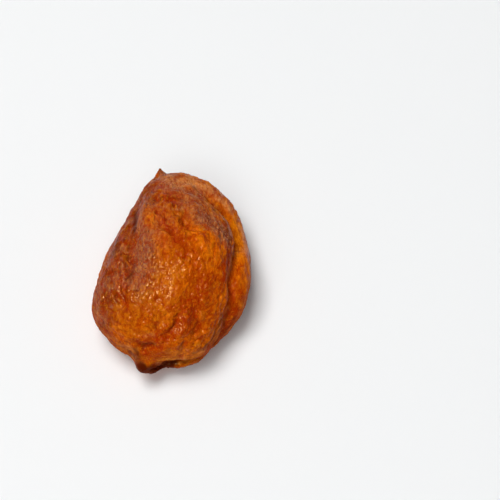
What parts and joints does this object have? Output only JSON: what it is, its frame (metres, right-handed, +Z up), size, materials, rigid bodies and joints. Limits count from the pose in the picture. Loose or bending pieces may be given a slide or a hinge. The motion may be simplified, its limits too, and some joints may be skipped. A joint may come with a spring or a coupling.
{
  "type": "dried apricot",
  "caption": "Whole dried apricot: a wrinkled, flattened stone fruit with a side seam, a puckered stem end and a small pointed tip, lying on one cheek.",
  "frame": {"origin": "centre of the fruit's bounding box at the surface it lies on", "axes": "+Z up; +Y from the stem end to the blossom end; +X towards the side that carries the seam"},
  "size_m": [0.0306, 0.041, 0.0201],
  "materials": {
    "flesh": "soft satin, wrinkled, slightly sticky dried fruit skin"
  },
  "bodies": {
    "root": {"dried_apricot": "flesh"}
  },
  "joints": []
}
